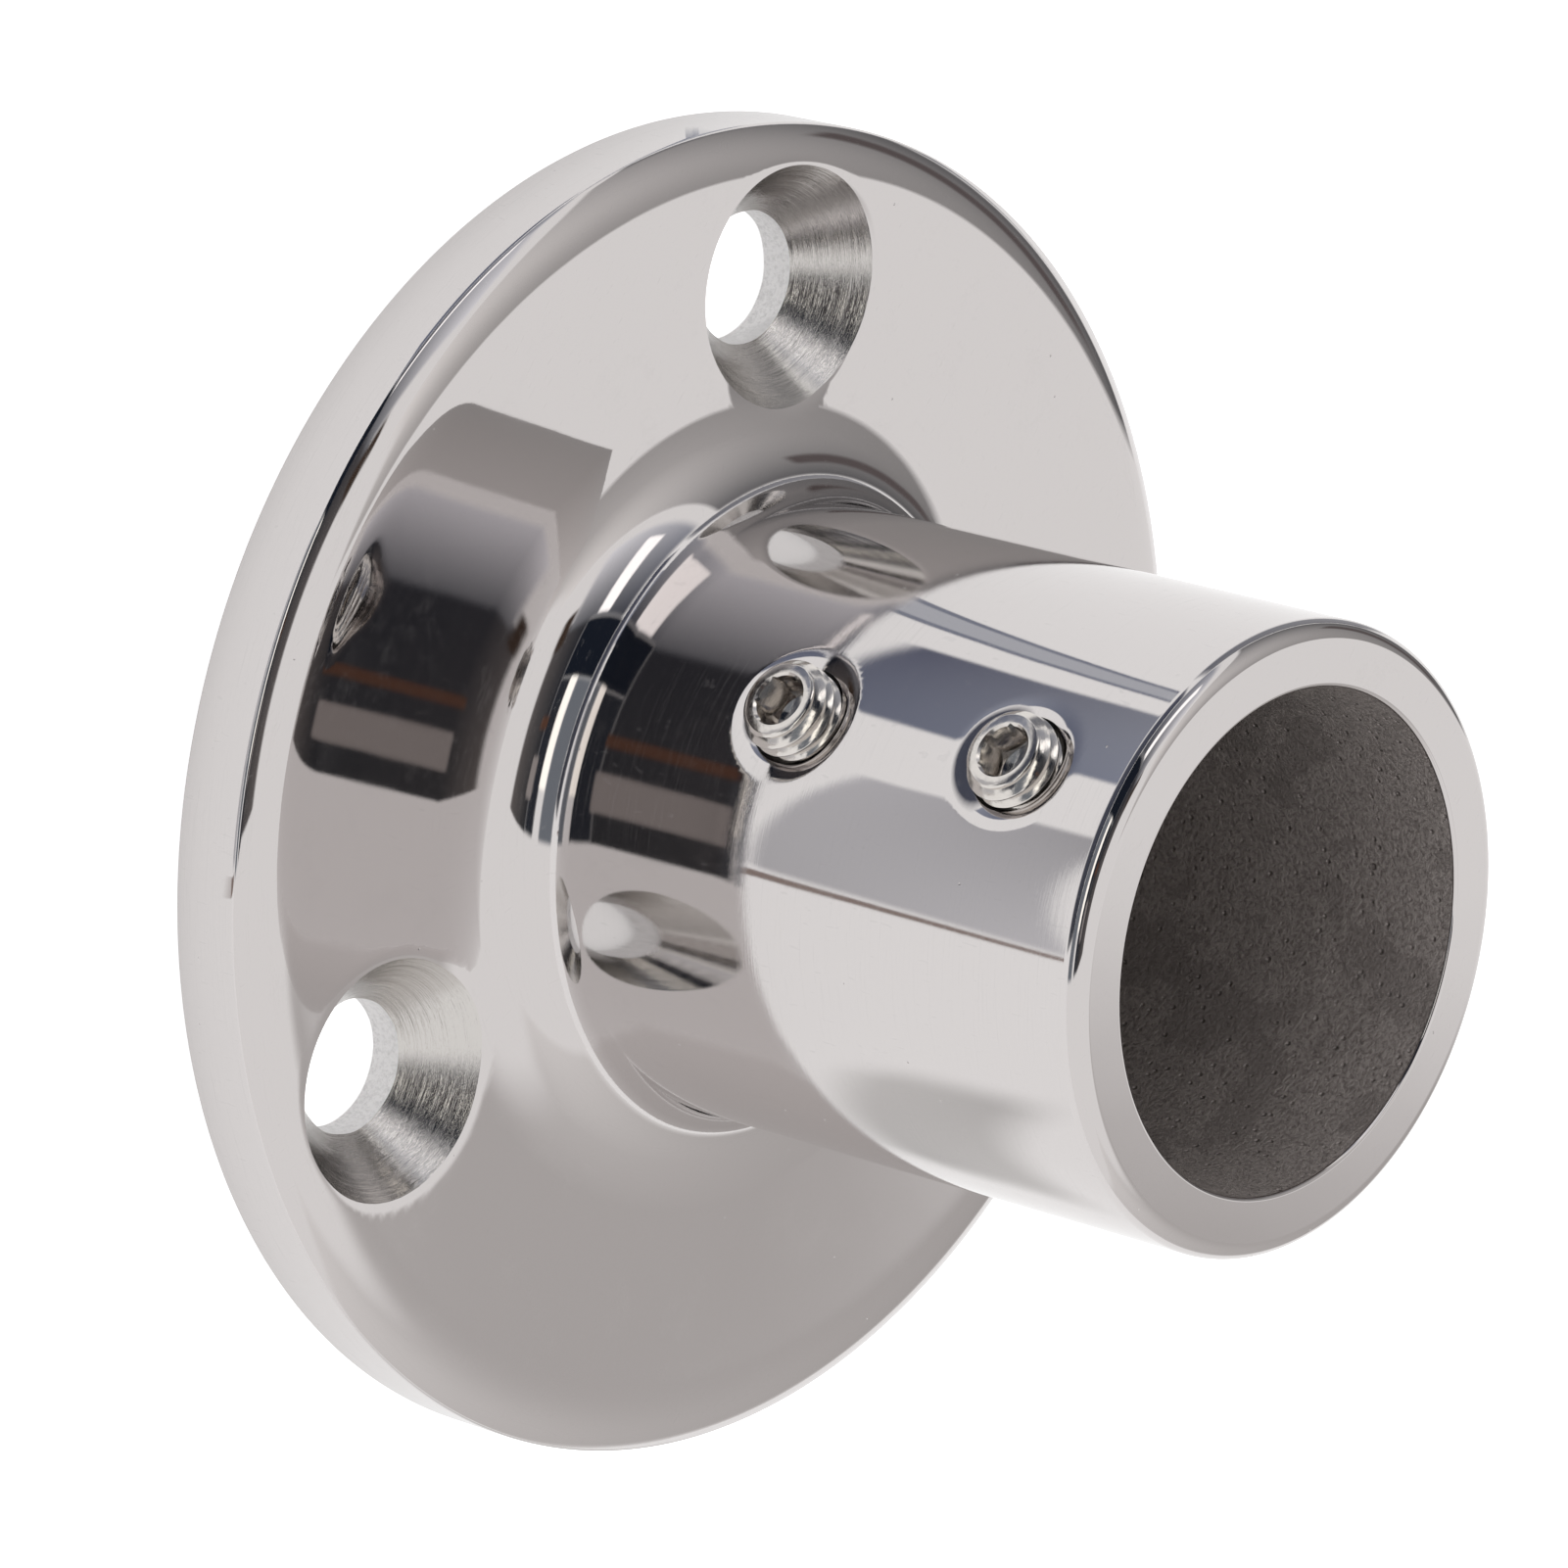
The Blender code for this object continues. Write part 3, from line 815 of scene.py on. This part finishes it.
# Flat cards lying on the floor, each a four-sided outline in millimetres with its corner colours and
# the width of its soft border
FLOOR_CARD_CELLS = (24, 24)
FLOOR_CARDS = {
    "stripe_left": (((-33, -18), (-29, -21), (-51, -43), (-55, -40)), ((0.55, 0.57, 0.62),) * 4, 0.2),
    "line_left": (
        ((-33.4, -17.6), (-32.6, -18.4), (-54.6, -40.4), (-55.4, -39.6)),
        ((0.25, 0.27, 0.34),) * 4,
        0.1,
    ),
    "line_middle": (
        ((-29.4, -20.6), (-28.6, -21.4), (-50.6, -43.4), (-51.4, -42.6)),
        ((0.25, 0.27, 0.34),) * 4,
        0.1,
    ),
    "blob_left": (
        ((-11, -38), (-30, -31), (-56, -58), (-20, -70)),
        ((0.17, 0.19, 0.26), (0.12, 0.13, 0.19), (0.32, 0.35, 0.44), (0.40, 0.42, 0.48)),
        0.8,
    ),
    "sector_right": (
        ((1, -47), (23, -32), (44, -53), (1, -72)),
        ((0.62, 0.62, 0.65), (0.55, 0.55, 0.57), (0.45, 0.45, 0.47), (0.70, 0.70, 0.73)),
        0.4,
    ),
    "line_right": (((22.2, -31), (23.2, -30), (45, -52), (44, -53)), ((0.30, 0.24, 0.22),) * 4, 0.1),
    "dark_front": (
        ((-92, -62), (60, -72), (420, -620), (-620, -460)),
        ((0.11, 0.12, 0.17), (0.06, 0.065, 0.08), (0.05, 0.055, 0.07), (0.05, 0.055, 0.07)),
        8.0,
    ),
    "dark_left": (
        ((-78, 70), (-66, -44), (-600, -330), (-600, 420)),
        ((0.45, 0.45, 0.47), (0.16, 0.17, 0.21), (0.14, 0.14, 0.17), (0.35, 0.35, 0.36)),
        8.0,
    ),
    "shade_back": (
        ((44, -2), (24, 30), (36, 54), (70, -4)),
        ((0.85, 0.84, 0.83), (0.50, 0.495, 0.49), (0.55, 0.545, 0.54), (0.88, 0.87, 0.86)),
        8.0,
    ),
}


def glow_material(name, strength):
    """Emission in the mesh's own corner colours, letting through what is behind where alpha is low."""
    material = bpy.data.materials.new(name)
    material.use_nodes = True
    tree = material.node_tree
    tree.nodes.clear()
    tint = add_node(tree, "ShaderNodeAttribute", attribute_name="tint")
    glow = add_node(tree, "ShaderNodeEmission", color=tint.outputs["Color"], strength=strength)
    clear = add_node(tree, "ShaderNodeBsdfTransparent")
    mixed = add_node(tree, "ShaderNodeMixShader")
    tree.links.new(tint.outputs["Alpha"], mixed.inputs[0])
    tree.links.new(clear.outputs[0], mixed.inputs[1])
    tree.links.new(glow.outputs[0], mixed.inputs[2])
    output = add_node(tree, "ShaderNodeOutputMaterial")
    tree.links.new(mixed.outputs[0], output.inputs["Surface"])
    return material


def reflected_card(name, place, colours, strength, borders, cells):
    """A card that only reflections show. place(u, v) is a point of it; borders are soft shares of both."""
    vertices = []
    tints = []
    for row in range(cells[1] + 1):
        for column in range(cells[0] + 1):
            u, v = column / cells[0], row / cells[1]
            vertices.append(place(u, v))
            low = Vector(colours[0]).lerp(Vector(colours[1]), u)
            high = Vector(colours[2]).lerp(Vector(colours[3]), u)
            edge_u = min(u, 1 - u) / max(borders[0], 1e-6)
            edge_v = min(v, 1 - v) / max(borders[1], 1e-6)
            cover = min(1.0, edge_u) * min(1.0, edge_v)
            tints.append((*low.lerp(high, v), cover * cover * (3 - 2 * cover)))
    faces = []
    wide = cells[0] + 1
    for row in range(cells[1]):
        for column in range(cells[0]):
            first = row * wide + column
            faces.append((first, first + 1, first + 1 + wide, first + wide))
    mesh = bpy.data.meshes.new(name)
    mesh.from_pydata(vertices, [], faces)
    layer = mesh.color_attributes.new("tint", "FLOAT_COLOR", "POINT")
    for datum, tint in zip(layer.data, tints):
        datum.color = tint
    mesh.materials.append(glow_material(name, strength))
    card = add_object(name, mesh)
    card.visible_camera = False
    card.visible_diffuse = False
    card.visible_shadow = False
    card.visible_transmission = False


def dome_card(name, radius, azimuths, elevations, colours, strength, border):
    def place(u, v):
        azimuth = math.radians(CAMERA_AZIMUTH + azimuths[0] + (azimuths[1] - azimuths[0]) * u)
        elevation = math.radians(elevations[0] + (elevations[1] - elevations[0]) * v)
        level = radius * math.cos(elevation)
        return level * math.sin(azimuth), -level * math.cos(azimuth), radius * math.sin(elevation)

    wide, high = azimuths[1] - azimuths[0], elevations[1] - elevations[0]
    borders = (border[0] / wide, border[1] / high)
    reflected_card(name, place, colours, strength, borders, (wide, high))


def floor_card(name, outline, colours, border, height):
    near_left, near_right, far_right, far_left = [Vector(corner) * MM for corner in outline]

    def place(u, v):
        near = near_left.lerp(near_right, u)
        far = far_left.lerp(far_right, u)
        return (*near.lerp(far, v), height)

    wide = (near_left - near_right).length / MM
    high = (near_left - far_left).length / MM
    reflected_card(name, place, colours, 1.0, (border / wide, border / high), FLOOR_CARD_CELLS)


def make_floor(name, height, tone, glow):
    mesh = bpy.data.meshes.new(name)
    half = FLOOR_HALF
    corners = [(-half, -half, height), (half, -half, height), (half, half, height), (-half, half, height)]
    mesh.from_pydata(corners, [], [(0, 1, 2, 3)])
    material = bpy.data.materials.new(name)
    material.use_nodes = True
    shader = material.node_tree.nodes["Principled BSDF"]
    shader.inputs["Base Color"].default_value = (tone, tone, tone, 1.0)
    shader.inputs["Roughness"].default_value = FLOOR_ROUGHNESS
    shader.inputs["Emission Color"].default_value = (1.0, 1.0, 1.0, 1.0)
    shader.inputs["Emission Strength"].default_value = glow
    mesh.materials.append(material)
    floor = add_object(name, mesh)
    return floor


def make_studio():
    """White surroundings, cards, a softbox, a floor for the camera, and one for mirrors and bounced light."""
    scene = bpy.context.scene
    scene.view_settings.view_transform = "Standard"
    world = bpy.data.worlds.new("studio")
    world.use_nodes = True
    background = world.node_tree.nodes["Background"]
    background.inputs["Color"].default_value = (*WHITE, 1.0)
    background.inputs["Strength"].default_value = 1.0
    scene.world = world
    seen_floor = make_floor("seen_floor", -0.1 * MM, 0.92, 0.7)
    seen_floor.visible_glossy = False
    seen_floor.visible_diffuse = False
    seen_floor.visible_shadow = False
    reflected_floor = make_floor("reflected_floor", -0.2 * MM, 0.45, 0.5)
    reflected_floor.visible_camera = False
    for index, (name, settings) in enumerate(DOME_CARDS.items()):
        dome_card(name, DOME_RADIUS - index * DOME_CARD_STEP, *settings)
    for index, (name, settings) in enumerate(FLOOR_CARDS.items()):
        floor_card(name, *settings, height=FLOOR_CARD_START + index * FLOOR_CARD_STEP)
    light = bpy.data.lights.new("softbox", "AREA")
    light.shape = "RECTANGLE"
    light.size = SOFTBOX_SIZE
    light.size_y = SOFTBOX_SIZE
    light.energy = SOFTBOX_POWER
    softbox = bpy.data.objects.new("softbox", light)
    softbox.location = SOFTBOX_PLACE
    softbox.visible_glossy = False
    scene.collection.objects.link(softbox)


# ---------------------------------------------------------------- camera

CAMERA_AIM = Vector((-1.215, -0.382, 8.155)) * MM
CAMERA_DISTANCE = 474.2 * MM
CAMERA_ELEVATION = math.radians(40.63)
CAMERA_ROLL = math.radians(104.63)
CAMERA_LENS_MM = 211.6
SENSOR_WIDTH_MM = 36.0


def make_camera():
    data = bpy.data.cameras.new("camera")
    data.lens = CAMERA_LENS_MM
    data.sensor_width = SENSOR_WIDTH_MM
    data.clip_start = 0.01
    camera = bpy.data.objects.new("camera", data)
    level = math.cos(CAMERA_ELEVATION)
    azimuth = math.radians(CAMERA_AZIMUTH)
    back = Vector((math.sin(azimuth) * level, -math.cos(azimuth) * level, math.sin(CAMERA_ELEVATION)))
    upright = (-back).to_track_quat("-Z", "Y").to_matrix()
    roll = Matrix.Rotation(CAMERA_ROLL, 3, "Z")
    camera.location = CAMERA_AIM + back * CAMERA_DISTANCE
    camera.rotation_euler = (upright @ roll).to_euler()
    bpy.context.scene.collection.objects.link(camera)
    bpy.context.scene.camera = camera


make_camera()
make_studio()
make_casting(casting_materials())
screw_steel = screw_material()
make_set_screw("set_screw_inner", 12.0, screw_steel)
make_set_screw("set_screw_outer", -20.0, screw_steel)
